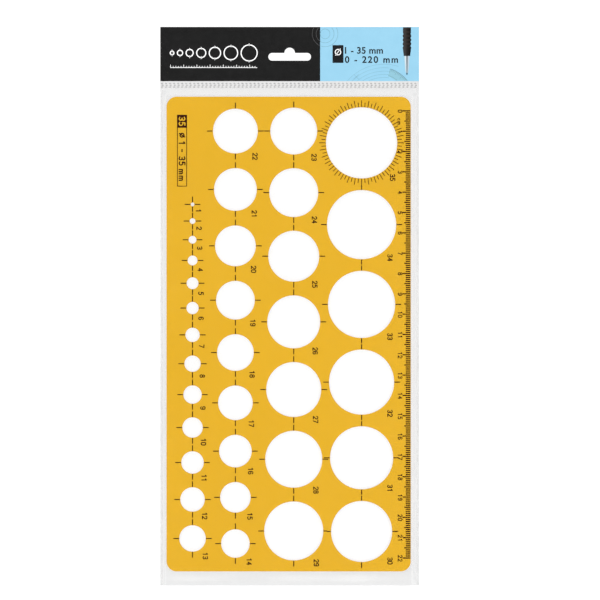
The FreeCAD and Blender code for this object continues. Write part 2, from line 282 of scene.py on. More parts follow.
def amber_plastic():
    """Clear amber sheet: a deeper amber painted as shade on its cut edges, with faint flow marks and
    hairline scratches.
    """
    s = Shader("amber_plastic", Transmission_Weight=0.3, IOR=1.49)
    body = s.mottled(AMBER_DEEP, AMBER_PALE, scale=22, detail=3)
    normal = s.node("ShaderNodeSeparateXYZ")
    s.link(s.node("ShaderNodeTexCoord").outputs["Normal"], normal.inputs["Vector"])
    # painted shade: faces that turn away from the sheet's face take the deeper edge colour
    facing = s.span(s.math("ABSOLUTE", normal.outputs["Z"]), *AMBER_TURN, 0.0, 1.0)
    s.feed("Base Color", s.mix(facing, AMBER_EDGE_SHADE, body))
    along = s.noise(scale=900, detail=2, place=s.scaled(1.0, 0.03, 1.0))
    across = s.noise(scale=700, detail=2, place=s.scaled(0.04, 1.0, 1.0))
    scratches = s.math("MULTIPLY", along, across)
    s.feed("Roughness", s.span(scratches, *SCRATCH_SPAN, *AMBER_ROUGHNESS))
    s.feed("Normal", s.bumps(s.noise(scale=120, detail=2), strength=0.05, distance=0.1 * MM))
    return s.material


def plate_ink():
    """Screen-printed ink, slightly uneven in its thickness and gloss."""
    s = Shader("plate_ink", IOR=1.45, Specular_IOR_Level=0.08)
    thinness = s.noise(scale=1400, detail=3)
    s.feed("Base Color", s.ramp(thinness, (0.35, INK_THICK), (0.7, INK_THIN)))
    s.feed("Roughness", s.uneven(0.25, 0.4, scale=2600, detail=2))
    s.feed("Normal", s.bumps(s.noise(scale=5200, detail=2), strength=0.2, distance=0.01 * MM))
    return s.material


def beyond_plate(s, x, y):
    """How far a point lies outside the plate's rounded outline."""
    middle = (PLATE_LOW + PLATE_HIGH) / 2
    half = (PLATE_HIGH - PLATE_LOW) / 2
    offsets = []
    for place, centre, reach in ((x, middle.x, half.x), (y, middle.y, half.y)):
        away = s.math("ABSOLUTE", s.math("SUBTRACT", place, centre))
        offsets.append(s.math("SUBTRACT", away, reach - PLATE_CORNER))
    squares = [s.math("POWER", s.math("MAXIMUM", offset, 0.0), 2.0) for offset in offsets]
    outer = s.math("SQRT", s.math("ADD", *squares))
    inner = s.math("MINIMUM", s.math("MAXIMUM", *offsets), 0.0)
    return s.math("SUBTRACT", s.math("ADD", outer, inner), PLATE_CORNER)


def clear_film(name, slack, seal_shade, cloud):
    """Thin clear film: glossy, clearest where it clings to the plate, and greyed by painted shade
    where it hangs slack in the margins, by the seal, and where it sinks into the empty sleeve."""
    s = Shader(name)
    x, y, z = s.axes()
    off_plate = s.span(beyond_plate(s, x, y), *FILM_PLATE_EDGE, 0.0, 1.0)
    # painted shade: grey in the margins off the plate, and all over where the film sinks into the empty
    # sleeve
    painted_shade = s.math("MAXIMUM", off_plate, s.span(z, *FILM_SHADE_HEIGHTS, 1.0, 0.0))
    clouds = s.uneven(-cloud, cloud, scale=60, detail=3)
    # painted shade: greyer still by the seal
    by_seal = s.span(y, PLATE_HIGH.y, PLATE_HIGH.y + FILM_SEAL_SHADE_RISE, 0.0, seal_shade)
    tint = s.math("ADD", s.math("MULTIPLY", painted_shade, slack - FILM_CLEAR), FILM_CLEAR)
    tint = s.math("SUBTRACT", tint, by_seal)
    tint = s.math("ADD", tint, s.math("MULTIPLY", clouds, painted_shade))
    colour = s.node("ShaderNodeCombineColor")
    for channel in colour.inputs:
        s.link(tint, channel)
    through = s.node("ShaderNodeBsdfTransparent")
    s.link(colour.outputs["Color"], through.inputs["Color"])
    gloss = s.node("ShaderNodeBsdfGlossy")
    gloss.inputs["Roughness"].default_value = FILM_ROUGHNESS
    facing = s.node("ShaderNodeLayerWeight")
    facing.inputs["Blend"].default_value = 0.5
    grazing = s.math("POWER", facing.outputs["Facing"], FILM_GLOSS_POWER)
    ripples = s.noise(scale=320, detail=3, place=s.scaled(1.0, 0.35, 1.0))
    rippled = s.bumps(ripples, strength=0.25, distance=0.05 * MM)
    s.link(rippled, gloss.inputs["Normal"])
    s.link(rippled, facing.inputs["Normal"])
    blend = s.node("ShaderNodeMixShader")
    s.link(s.span(grazing, 0.0, 1.0, FILM_GLOSS, FILM_GRAZING_GLOSS), blend.inputs[0])
    s.link(through.outputs["BSDF"], blend.inputs[1])
    s.link(gloss.outputs["BSDF"], blend.inputs[2])
    s.link(blend.outputs["Shader"], s.output.inputs["Surface"])
    s.tree.nodes.remove(s.principled)
    return s.material


def film_weld():
    """The two films melted into one bead: milky, with a faint ripple along its length."""
    s = Shader("film_weld", IOR=1.45, Alpha=0.6)
    s.feed("Base Color", s.mottled(*WELD_GREYS, scale=900, detail=3))
    s.feed("Roughness", s.uneven(0.16, 0.34, scale=600, detail=2))
    ripples = s.noise(scale=1500, detail=2, place=s.scaled(0.3, 1.0, 1.0))
    s.feed("Normal", s.bumps(ripples, strength=0.3, distance=0.03 * MM))
    return s.material


def heat_seal():
    """White ink under crimped film, with painted shade: grey painted on the crimp's raised marks, white
    between them.
    """
    s = Shader("heat_seal", IOR=1.45)
    _, _, z = s.axes()
    shade_low, shade_high = (SEAL_HIGH.z - down for down in SEAL_SHADE)
    # painted shade: the higher on a mark, the greyer
    height = s.span(z, shade_low, shade_high, 0.0, 1.0)
    tone = s.ramp(height, (0.0, SEAL_WHITE), (0.9, SEAL_MARK_SHADE))
    bleach = s.uneven(0.0, SEAL_BLEACH_MOST, scale=500, detail=3)
    s.feed("Base Color", s.mix(bleach, tone, SEAL_BLEACH))
    s.feed("Roughness", s.uneven(0.2, 0.35, scale=1500, detail=2))
    return s.material


def printed_film(name, low, high):
    """Solid print on the header's film: an even colour with a fine grain and a soft gloss."""
    s = Shader(name, IOR=1.46)
    s.feed("Base Color", s.mottled(low, high, scale=160, detail=5))
    s.feed("Roughness", s.uneven(*PRINT_ROUGHNESS, scale=420, detail=4))
    grain = s.noise(scale=260, detail=3, place=s.scaled(1.0, 0.6, 1.0))
    s.feed("Normal", s.bumps(grain, strength=0.04, distance=0.05 * MM))
    return s.material


# ---- Plate ------------------------------------------------------------------------------------
def plate_holes():
    """(centre, radius) of each hole's wall, read from the rims of the CAD plate's printed face."""
    work = bmesh.new()
    work.from_mesh(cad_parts["template_plate"].data)
    bmesh.ops.remove_doubles(work, verts=work.verts, dist=SAME_PLACE)
    work.normal_update()
    rim = {e for e in work.edges if sum(f.normal.z > LEVEL_NORMAL for f in e.link_faces) == 1}
    found = []
    while rim:
        ring = set()
        waiting = [rim.pop()]
        while waiting:
            for vert in waiting.pop().verts:
                ring.add(vert)
                beside = [e for e in vert.link_edges if e in rim]
                rim.difference_update(beside)
                waiting += beside
        centre = sum((v.co for v in ring), Vector()) / len(ring)
        radius = sum((v.co - centre).length for v in ring) / len(ring)
        found.append((centre, radius - EDGE_ROUND))
    work.free()
    found.sort(key=lambda hole: hole[1])
    return found[:-1]


def rounded_rectangle(low, high, inset):
    """The plate's outline, drawn in by inset, anticlockwise."""
    corner = PLATE_CORNER - inset
    points = []
    for quarter, (x, y) in enumerate(((high.x, high.y), (low.x, high.y), (low.x, low.y), (high.x, low.y))):
        centre_x = x - math.copysign(PLATE_CORNER, x - (low.x + high.x) / 2)
        centre_y = y - math.copysign(PLATE_CORNER, y - (low.y + high.y) / 2)
        for step in range(CORNER_STEPS + 1):
            angle = (quarter + step / CORNER_STEPS) * math.pi / 2
            points.append((centre_x + corner * math.cos(angle), centre_y + corner * math.sin(angle)))
    return points


def circle_points(centre, radius, sides):
    """A hole's outline, clockwise, so that its wall faces into the hole."""
    turns = [-2 * math.pi * n / sides for n in range(sides)]
    return [(centre.x + radius * math.cos(a), centre.y + radius * math.sin(a)) for a in turns]


def plate_profile():
    """(inset from the wall, height) from the top face's rim down to the bottom face's."""
    top = []
    for step in range(EDGE_STEPS + 1):
        angle = math.pi / 2 * step / EDGE_STEPS
        top.append((EDGE_ROUND * (1 - math.sin(angle)), PLATE_HIGH.z - EDGE_ROUND * (1 - math.cos(angle))))
    middle = PLATE_LOW.z + PLATE_HIGH.z
    return top + [(inset, middle - z) for inset, z in reversed(top)]


def plate():
    work = bmesh.new()
    outlines = [lambda inset: rounded_rectangle(PLATE_LOW, PLATE_HIGH, inset)]
    for centre, radius in HOLES:
        sides = max(LEAST_SIDES, 4 * round(2 * math.pi * radius / HOLE_CHORD / 4))
        outlines.append(lambda inset, c=centre, r=radius, n=sides: circle_points(c, r + inset, n))
    caps = ([], [])
    for outline in outlines:
        rings = [[work.verts.new((x, y, z)) for x, y in outline(inset)] for inset, z in plate_profile()]
        for upper, lower in zip(rings, rings[1:]):
            for n in range(len(upper)):
                after = (n + 1) % len(upper)
                face = work.faces.new((upper[n], lower[n], lower[after], upper[after]))
                face.smooth = True
        for cap, ring in zip(caps, (rings[0], rings[-1])):
            cap += [work.edges.get((ring[n], ring[(n + 1) % len(ring)])) for n in range(len(ring))]
    for cap, up in zip(caps, (1, -1)):
        bmesh.ops.triangle_fill(work, edges=cap, use_beauty=True, normal=(0, 0, up))
    bmesh.ops.recalc_face_normals(work, faces=work.faces)
    mesh = bpy.data.meshes.new("amber_plate")
    work.to_mesh(mesh)
    work.free()
    piece = bpy.data.objects.new("amber_plate", mesh)
    bpy.context.scene.collection.objects.link(piece)
    return piece


# ---- Film sheets ------------------------------------------------------------------------------
def film_lines(low, high, *fine):
    """Grid lines from low to high, closer together in the fine stretches."""
    lines = [low]
    while lines[-1] < high - STEP_ROUNDING:
        here = lines[-1]
        step = FILM_FINE_STEP if any(a - STEP_ROUNDING <= here < b for a, b in fine) else FILM_STEP
        nearest = min([a for a, _ in fine if a > here + STEP_ROUNDING] + [high])
        lines.append(min(here + step, nearest))
    return lines


def wave(x, y, height, across, along, seed):
    return height * noise.noise(Vector((x / across, y / along, seed)))


def front_height(x, y):
    """Taut over the plate, sloping down to the welds and the seal, and drooping at the open mouth."""
    foot = WELD_HIGH - FILM / 2
    top = FILM_HIGH.z - FILM / 2
    left = (x - FILM_LOW.x) / (PLATE_LOW.x - FOLD_CLEARANCE - FILM_LOW.x)
    right = (FILM_HIGH.x - x) / (FILM_HIGH.x - PLATE_HIGH.x - FOLD_CLEARANCE)
    seal = (FILM_HIGH.y - y) / (FILM_HIGH.y - PLATE_HIGH.y - FOLD_CLEARANCE)
    rise = 1.0
    for share in (left, right, seal):
        share = min(1.0, max(0.0, share))
        rise *= 1 - (1 - share) ** SLOPE_CURVE
    slack = sum(wave(x, y, *waves) for waves in SLACK_WAVES)
    pulls = smooth(1 - (FILM_HIGH.y - y) / SEAL_PULL_REACH) * wave(x, y, *SEAL_PULLS)
    out = max(0.0, (PLATE_LOW.y - y) / (PLATE_LOW.y - FILM_LOW.y))
    lip = wave(x, 0, *MOUTH_WAVES) - MOUTH_DROOP
    return foot + rise * (top - foot + slack + pulls + lip * smooth(out)) - sag(x, y)


def sag(x, y):
    """How far the film dips into a large hole."""
    for centre, radius in HOLES:
        away = math.hypot(x - centre.x, y - centre.y)
        if radius > SAG_LEAST and away < radius:
            return SAG * radius * (1 - (away / radius) ** 2) ** 2
    return 0.0


def back_height(x, y):
    return FILM / 2 + BACK_WAVES[0] + wave(x, y, *BACK_WAVES)


def film(name, low, high, fine_x, fine_y, height):
    columns = film_lines(low.x, high.x, *fine_x)
    rows = film_lines(low.y, high.y, *fine_y)
    points = [(x, y, height(x, y)) for y in rows for x in columns]
    wide = len(columns)
    faces = [
        (r * wide + c, r * wide + c + 1, (r + 1) * wide + c + 1, (r + 1) * wide + c)
        for r in range(len(rows) - 1)
        for c in range(wide - 1)
    ]
    return mesh_object(name, points, faces, smooth_faces=True)


def film_sheets():
    left = (FILM_LOW.x, PLATE_LOW.x)
    right = (PLATE_HIGH.x, FILM_HIGH.x)
    top = (PLATE_HIGH.y, FILM_HIGH.y)
    mouth = (FILM_LOW.y, PLATE_LOW.y)
    front = film("front_film_sheet", FILM_LOW, FILM_HIGH, (left, right), (mouth, top), front_height)
    finished(front, SLEEVE, FRONT_FILM, "clear_film", "front_film")
    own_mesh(front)
    back = film("back_film_sheet", BACK_LOW, BACK_HIGH, (), (), back_height)
    finished(back, SLEEVE, BACK_FILM, "clear_film", "back_film")


# ---- Welds and seal ---------------------------------------------------------------------------
WELD_STEP = 1.5 * MM
WELD_TAPER = 3.0 * MM  # how far from each end the bead reaches its full height
WELD_END = 0.3  # of that height is left at the end
WELD_DIPS = (0.12, 1.0, 7 * MM, 30.5)  # a wave in the bead's height, as a share of it
WELD_SWAY = (0.02, 1.0, 11 * MM, 41.5)  # and one in its place across, as a share of its width
WELD_PROFILE = ((0, 0), (0, 0.78), (0.12, 0.94), (0.35, 1), (0.65, 1), (0.88, 0.94), (1, 0.78), (1, 0))


def weld(name, node):
    """A bead of melted film: round-shouldered, with its thickness and edge slightly uneven."""
    low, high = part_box(node)
    size = high - low
    count = round(size.y / WELD_STEP)
    points = []
    for n in range(count + 1):
        y = low.y + size.y * n / count
        ending = smooth(min(y - low.y, high.y - y) / WELD_TAPER)
        tall = (1 - abs(wave(low.x, y, *WELD_DIPS))) * (WELD_END + (1 - WELD_END) * ending)
        sway = wave(low.x, y, *WELD_SWAY)
        for across, up in WELD_PROFILE:
            aside = across + sway * (1 - abs(2 * across - 1))
            points.append((low.x + size.x * aside, y, low.z + size.z * up * tall))
    around = len(WELD_PROFILE)
    faces = []
    for n in range(count):
        here, ahead = n * around, (n + 1) * around
        for k in range(around):
            after = (k + 1) % around
            faces.append((here + k, here + after, ahead + after, ahead + k))
    faces.append(tuple(range(around))[::-1])
    faces.append(tuple(count * around + k for k in range(around)))
    piece = mesh_object(name, points, faces, smooth_faces=True)
    outward(piece)
    # sharp at its two ends, so that they don't shade the bead beside them
    ends = (set(range(around)), set(range(count * around, (count + 1) * around)))
    for edge in piece.data.edges:
        edge.use_edge_sharp = any(end.issuperset(edge.vertices) for end in ends)
    finished(piece, SLEEVE, FILM_WELD, "film_weld", node)


def outward(piece):
    """Turns every face of a closed mesh outwards."""
    work = bmesh.new()
    work.from_mesh(piece.data)
    bmesh.ops.recalc_face_normals(work, faces=work.faces)
    work.to_mesh(piece.data)
    work.free()


SEAL_PITCH = 1.98 * MM
SEAL_START = 0.42  # of the pitch, from the band's left end to its first mark
SEAL_ROWS = (1.12 * MM, 2.0 * MM, 2.88 * MM)  # down from the band's upper edge
SEAL_SHIFT = 0.16  # of the pitch, for the middle row
SEAL_DOT = (0.74 * MM, 0.4 * MM)  # half of a crimp mark's length and height
SEAL_CROWN = 0.8  # of the mark's foot
SEAL_RELIEF = 0.09 * MM
SEAL_ROOT = 0.02 * MM  # how far a mark starts inside the band


def seal_band():
    """The crimped band: a flat strip with staggered rows of raised lozenges."""
    low, high = SEAL_LOW, SEAL_HIGH
    base = high.z - SEAL_RELIEF
    strip = ((low.x, low.y), (high.x, low.y), (high.x, high.y), (low.x, high.y))
    points = [(x, y, z) for z in (0.0, base) for x, y in strip]
    faces = [(3, 2, 1, 0), (4, 5, 6, 7)]
    faces += [(n, (n + 1) % 4, 4 + (n + 1) % 4, 4 + n) for n in range(4)]
    half_x, half_y = SEAL_DOT
    count = round((high.x - low.x) / SEAL_PITCH)
    for row, drop in enumerate(SEAL_ROWS):
        for n in range(count):
            x = low.x + (n + SEAL_START + SEAL_SHIFT * (row % 2)) * SEAL_PITCH
            y = high.y - drop
            start = len(points)
            foot = ((x - half_x, y), (x, y - half_y), (x + half_x, y), (x, y + half_y))
            crown = [(x + (a - x) * SEAL_CROWN, y + (b - y) * SEAL_CROWN) for a, b in foot]
            points += [(a, b, base - SEAL_ROOT) for a, b in foot]
            points += [(a, b, high.z) for a, b in crown]
            faces += [(start + 3, start + 2, start + 1, start), tuple(start + 4 + k for k in range(4))]
            for k in range(4):
                after = (k + 1) % 4
                faces.append((start + k, start + after, start + 4 + after, start + 4 + k))
    piece = mesh_object("crimped_seal", points, faces)
    finished(piece, SLEEVE, heat_seal(), "heat_seal", "seal_band")


# ---- Print on the header ----------------------------------------------------------------------
# The artwork's own sizes are in millimetres.
PRINT = 0.02 * MM  # the thickness of one layer of print
ARC_STEP = 4  # degrees
FAINT_LINE = 0.16


class Artwork:
    """Flat printed shapes, each a thin closed prism on the header's face, or on the layers of print
    below its level. Millimetres, from the header's lower left corner."""

    def __init__(self, level=0):
        self.points = []
        self.faces = []
        self.low = HEADER_HIGH.z + level * PRINT
        self.high = self.low + PRINT

    def strip(self, first, second, closed=False):
        """The area between two lines that have the same number of points."""
        count = len(first)
        start = len(self.points)
        for line in (first, second):
            for z in (self.low, self.high):
                self.points += [(HEADER_LOW.x + x * MM, HEADER_LOW.y + y * MM, z) for x, y in line]
        first_low, first_high, second_low, second_high = (start + count * k for k in range(4))
        for n in range(count if closed else count - 1):
            after = (n + 1) % count
            self.faces.append((first_high + n, second_high + n, second_high + after, first_high + after))
            self.faces.append((first_low + after, second_low + after, second_low + n, first_low + n))
            self.faces.append((first_low + n, first_high + n, first_high + after, first_low + after))
            self.faces.append((second_low + after, second_high + after, second_high + n, second_low + n))
        if not closed:
            for n, turn in ((0, 1), (count - 1, -1)):
                end = (first_low + n, second_low + n, second_high + n, first_high + n)
                self.faces.append(end[::turn])

    def rectangle(self, x0, y0, x1, y1):
        self.strip([(x0, y0), (x0, y1)], [(x1, y0), (x1, y1)])

    def line(self, x0, y0, x1, y1, width):
        length = math.hypot(x1 - x0, y1 - y0)
        aside_x = (y1 - y0) / length * width / 2
        aside_y = -(x1 - x0) / length * width / 2
        self.strip(
            [(x0 + aside_x, y0 + aside_y), (x1 + aside_x, y1 + aside_y)],
            [(x0 - aside_x, y0 - aside_y), (x1 - aside_x, y1 - aside_y)],
        )

    def spindle(self, x, outline):
        """A shape that is the same on both sides of x, from its heights and half widths."""
        self.strip([(x + half, y) for y, half in outline], [(x - half, y) for y, half in outline])

    def arc(self, x, y, radius, start, stop, width):
        steps = max(2, math.ceil((stop - start) / ARC_STEP))
        closed = stop - start >= 360
        angles = [math.radians(start + (stop - start) * n / steps) for n in range(steps + (not closed))]
        lines = [
            [(x + r * math.cos(a), y + r * math.sin(a)) for a in angles]
            for r in (radius + width / 2, radius - width / 2)
        ]
        self.strip(*lines, closed=closed)

    def ring(self, x, y, radius, width):
        self.arc(x, y, radius, 0, 360, width)

    def piece(self, name, material, slot):
        made = mesh_object(name, self.points, self.faces)
        outward(made)
        return finished(made, SLEEVE, material, slot)


TYPE_WEIGHT = 0.1 * MM  # how much the type is thickened
CAPITAL = 0.73  # the height of a capital as a share of the type's size


def words(name, text, height, x, y, spacing, material, slot):
    """Generic sizes in plain type, standing on y with their left edge at x."""
    curve = bpy.data.curves.new(name, "FONT")
    curve.body = text
    curve.size = height * MM / CAPITAL
    curve.space_character = spacing
    curve.offset = TYPE_WEIGHT
    curve.extrude = PRINT / 2
    made = bpy.data.objects.new(name, curve)
    mesh = bpy.data.meshes.new_from_object(made)
    bpy.data.objects.remove(made)
    left = min(v.co.x for v in mesh.vertices)
    middle = HEADER_HIGH.z + PRINT / 2
    place = Vector((HEADER_LOW.x + x * MM - left, HEADER_LOW.y + y * MM, middle))
    for v in mesh.vertices:
        v.co += place
    mesh.materials.clear()
    piece = bpy.data.objects.new(name, mesh)
    bpy.context.scene.collection.objects.link(piece)
    return finished(piece, SLEEVE, material, slot)


ROW_LEFT = 4.9
ROW_HEIGHT = 13.9
ROW_RADII = (0.9, 1.3, 1.75, 2.25, 2.8, 3.35, 3.95)
ROW_GAP = 1.7
ROW_LINE = 0.5
MARK_INSIDE = 0.5  # how far a centre mark reaches in and out from its ring
MARK_OUTSIDE = 0.7
MARK_LINE = 0.28
SCALE_HEIGHT = 6.7
SCALE_LINE = 0.3
TICK_PITCH = 1.3
TICK_LINE = 0.24
TICKS = (1.4, 0.8)  # the length of each fifth tick, and of the others


def circle_row():
    """White line art on the black panel: a row of rings that grow over a scale, each with centre
    marks."""
    art = Artwork()
    x, y = ROW_LEFT, ROW_HEIGHT
    for radius in ROW_RADII:
        x += radius
        art.ring(x, y, radius, ROW_LINE)
        for sign in (-1, 1):
            inner = y + sign * (radius - MARK_INSIDE)
            outer = y + sign * (radius + MARK_OUTSIDE)
            art.line(x, inner, x, outer, MARK_LINE)
        x += radius + ROW_GAP
    right = x - ROW_GAP
    art.line(ROW_LEFT, SCALE_HEIGHT, right, SCALE_HEIGHT, SCALE_LINE)
    for n in range(math.floor((right - ROW_LEFT) / TICK_PITCH) + 1):
        tick_x = ROW_LEFT + TICK_LINE / 2 + n * TICK_PITCH
        length = TICKS[0] if n % 5 == 0 else TICKS[1]
        art.line(tick_x, SCALE_HEIGHT, tick_x, SCALE_HEIGHT + length, TICK_LINE)
    art.piece("circle_row_print", PRINT_WHITE, "header_white")


RINGS_ASIDE = 2.4  # from the line between the panels to the rings' centre
RINGS_HEIGHT = 23.3
RINGS_RADII = (2.4, 4.4, 6.3)
RINGS_TOP = 3.0  # how far above their centre the rings are cut off


def faint_rings():
    """Thin rings that straddle the two panels."""
    split = (BLUE_LOW.x - HEADER_LOW.x) / MM
    x, y = split + RINGS_ASIDE, RINGS_HEIGHT
    on_black = Artwork()
    on_blue = Artwork()
    for radius in RINGS_RADII:
        top = math.degrees(math.asin(min(1.0, RINGS_TOP / radius)))
        edge = math.degrees(math.acos(min(1.0, RINGS_ASIDE / radius)))
        on_blue.arc(x, y, radius, -180 + edge, top, FAINT_LINE)
        if radius > RINGS_ASIDE:
            on_black.arc(x, y, radius, 180 - top, 180 + edge, FAINT_LINE)
        else:
            on_blue.arc(x, y, radius, top, 180, FAINT_LINE)
    on_black.piece("faint_rings_black_print", PRINT_GREY, "header_black")
    on_blue.piece("faint_rings_blue_print", PRINT_BLUE_GREY, "header_blue")


PANEL_FOOT = 0.15  # how near the artwork comes to the panel's lower edge
ARCS_CENTRE = (110.2, -15.65)
ARCS = ((24.0, 117.2), (22.3, 112.5), (20.6, 112.5), (19.0, 112.5), (17.5, 112.5))  # radius, right end
CROSS = (96.5, 2.15)
CROSS_HALF = 1.2
BAND_CENTRE = (107.1, -11.8)
BAND_OUTER = 18.9
BAND_INNER = 15.1
BAND_RINGS = 8  # the band is laid as this many rings, so that each ends at the panel's foot
BAND_LEFT = 70.5  # degrees
RIM_LINE = 0.3
INNER_LINE = 0.2
INNER_LINE_IN = 0.4  # from the band's inner edge to the middle of that line
LINE_END = 0.5  # degrees from the panel's foot to a line's end
DEGREE_PITCH = 2.5
DEGREE_RIGHT = 42  # degrees
DEGREE_LINE = 0.22
DEGREE_LENGTHS = (1.9, 1.1)  # of each fourth mark, and of the others


def foot_angle(y, radius):
    """Where a ring about a point at height y meets the panel's foot."""
    return math.degrees(math.asin((PANEL_FOOT - y) / radius))


def faint_arcs():
    """Faint rings that rise from the blue panel's lower edge, with a small cross on them."""
    x, y = ARCS_CENTRE
    lines = Artwork()
    for radius, right in ARCS:
        start = math.degrees(math.acos((right - x) / radius))
        lines.arc(x, y, radius, start, 180 - foot_angle(y, radius), FAINT_LINE)
    x, y = CROSS
    for rise in (-CROSS_HALF, CROSS_HALF):
        lines.line(x - CROSS_HALF, y - rise, x + CROSS_HALF, y + rise, FAINT_LINE)
    lines.piece("protractor_lines_print", PRINT_FAINT, "header_blue")


def faint_band():
    """A stretch of a protractor's band, with its rim and its degree marks."""
    x, y = BAND_CENTRE
    band = Artwork(level=1)
    width = (BAND_OUTER - BAND_INNER) / BAND_RINGS
    for n in range(BAND_RINGS):
        inner = BAND_INNER + n * width
        band.arc(x, y, inner + width / 2, foot_angle(y, inner), BAND_LEFT, width)
    band.piece("protractor_band_print", PRINT_BAND, "header_blue")
    marks = Artwork(level=2)
    marks.arc(x, y, BAND_OUTER, foot_angle(y, BAND_OUTER) + LINE_END, BAND_LEFT, RIM_LINE)
    inner_start = foot_angle(y, BAND_INNER) + LINE_END
    marks.arc(x, y, BAND_INNER + INNER_LINE_IN, inner_start, BAND_LEFT, INNER_LINE)
    for n in range(math.floor((BAND_LEFT - DEGREE_RIGHT) / DEGREE_PITCH) + 1):
        angle = math.radians(BAND_LEFT - n * DEGREE_PITCH)
        length = DEGREE_LENGTHS[0] if n % 4 == 0 else DEGREE_LENGTHS[1]
        inner_end, outer_end = (
            (x + radius * math.cos(angle), y + radius * math.sin(angle))
            for radius in (BAND_OUTER - length, BAND_OUTER)
        )
        marks.line(*inner_end, *outer_end, DEGREE_LINE)
    marks.piece("protractor_marks_print", PRINT_BLUE_GREY, "header_blue")


TAB = (84.8, 9.0, 90.2, 17.75)  # its left, lower, right and upper edges
TAB_RING = (87.5, 14.3)
TAB_RING_RADIUS = 1.35
TAB_RING_LINE = 0.42
SLASH_HALF = (1.25, 1.7)
SLASH_LINE = 0.36
SIZES_LEFT = 90.9
SIZES_TYPE = 3.3
# (name, words, height of the line they stand on, spacing)
SIZES = (
    ("size_range_print", "1 - 35 mm", 13.6, 1.04),
    ("ruler_range_print", "0 - 220 mm", 9.1, 1.25),
)


def size_label():
    """A dark tab with a diameter sign in it, and the ranges of sizes beside it."""
    tab = Artwork()
    tab.rectangle(*TAB)
    tab.piece("size_tab_print", PRINT_DARK, "header_black")
    mark = Artwork(level=1)
    x, y = TAB_RING
    aside, up = SLASH_HALF
    mark.ring(x, y, TAB_RING_RADIUS, TAB_RING_LINE)
    mark.line(x - aside, y - up, x + aside, y + up, SLASH_LINE)
    mark.piece("size_mark_print", PRINT_WHITE, "header_white")
    for name, text, stand, spacing in SIZES:
        words(name, text, SIZES_TYPE, SIZES_LEFT, stand, spacing, PRINT_DARK, "header_black")


PENCIL_MIDDLE = 121.45
GRIP_LOW = 12.4
GRIP_HIGH = 26.55
GRIP_HALF = (1.62, 1.97)  # half of its width, at its foot and above
GRIP_SHADE_HALF = 2.0  # half of the width that its shading spans
GRIP_LEVELS = 80
GRIP_TONES = (
    (0.0, (0.036, 0.035, 0.035)),
    (0.3, (0.03, 0.028, 0.027)),
    (0.5, (0.012, 0.0105, 0.01)),
    (0.75, (0.006, 0.0054, 0.0052)),
    (1.0, (0.002, 0.002, 0.002)),
)
RIBS = (15.9, 23.6)
RIB_PITCH = 1.95
RIB_DEPTH = 0.18
RIB_TONE = (0.03, 0.0235, 0.021)
RIB_WAVE = (-0.2, 0.9)  # the stretch of each wave over which its tone comes in
RIB_MOST = 0.8  # of the ribs' tone, on the lit side
RIB_SHADED = 0.3  # of that is left at the shaded edge
TIP_OUTLINE = ((12.38, 1.35), (9.4, 1.15), (6.57, 0.93), (4.3, 0.6), (4.1, 0.55))
TIP_SHADE_HALF = 1.25
TIP_TONES = (
    (0.1, (0.4, 0.53, 0.58)),
    (0.25, (0.6, 0.66, 0.68)),
    (0.34, (0.5, 0.55, 0.57)),
    (0.42, (0.03, 0.032, 0.034)),
    (0.58, (0.03, 0.032, 0.034)),
    (0.66, (0.38, 0.43, 0.48)),
    (0.9, (0.36, 0.48, 0.57)),
)
TIP_FADE = (0.3, 0.42, 0.5)
TIP_FADE_MOST = 0.55  # of the fade's tone, at the point
LEAD_OUTLINE = ((4.1, 0.28), (3.1, 0.2))


def across_pencil(s, x, half):
    """Where a point lies across the pencil: 0 at half to the left of its middle, 1 at half to the right."""
    middle = HEADER_LOW.x + PENCIL_MIDDLE * MM
    return s.span(x, middle - half * MM, middle + half * MM, 0.0, 1.0)


def pencil_grip():
    """The printed picture of a rubber grip, ribbed in its upper part and lit from one side."""
    s = Shader("pencil_grip_print", IOR=1.46, Roughness=0.3, Specular_IOR_Level=0.12)
    x, y, _ = s.axes()
    across = across_pencil(s, x, GRIP_SHADE_HALF)
    wave_angle = s.math("MULTIPLY", y, 2 * math.pi / (RIB_PITCH * MM))
    ribs = s.span(s.math("SINE", wave_angle), *RIB_WAVE, 0.0, RIB_MOST)
    ribs_low = HEADER_LOW.y + RIBS[0] * MM
    ribbed = s.math("MULTIPLY", ribs, s.span(y, ribs_low, ribs_low + RIB_PITCH * MM, 0.0, 1.0))
    ribbed = s.math("MULTIPLY", ribbed, s.span(across, 0.5, 1.0, 1.0, RIB_SHADED))
    s.feed("Base Color", s.mix(ribbed, s.ramp(across, *GRIP_TONES), RIB_TONE))
    return s.material


def pencil_metal():
    """The printed picture of the pencil's metal cone: bright sides, a dark middle, paler at its point."""
    s = Shader("pencil_tip_print", IOR=1.46, Roughness=0.3)
    x, y, _ = s.axes()
    tone = s.ramp(across_pencil(s, x, TIP_SHADE_HALF), *TIP_TONES)
    point_y = HEADER_LOW.y + TIP_OUTLINE[-1][0] * MM
    fade = s.span(y, point_y, HEADER_LOW.y + GRIP_LOW * MM, TIP_FADE_MOST, 0.0)
    s.feed("Base Color", s.mix(fade, tone, TIP_FADE))
    return s.material


def grip_half(y):
    """Half of the grip's width: narrower at its foot, and wavy along its ribs."""
    foot, full = GRIP_HALF
    ribs_low, ribs_high = RIBS
    half = foot + (full - foot) * smooth((y - GRIP_LOW) / (ribs_low - GRIP_LOW))
    if ribs_low < y < ribs_high:
        half += RIB_DEPTH * math.sin(2 * math.pi * (y - ribs_low) / RIB_PITCH)
    return half


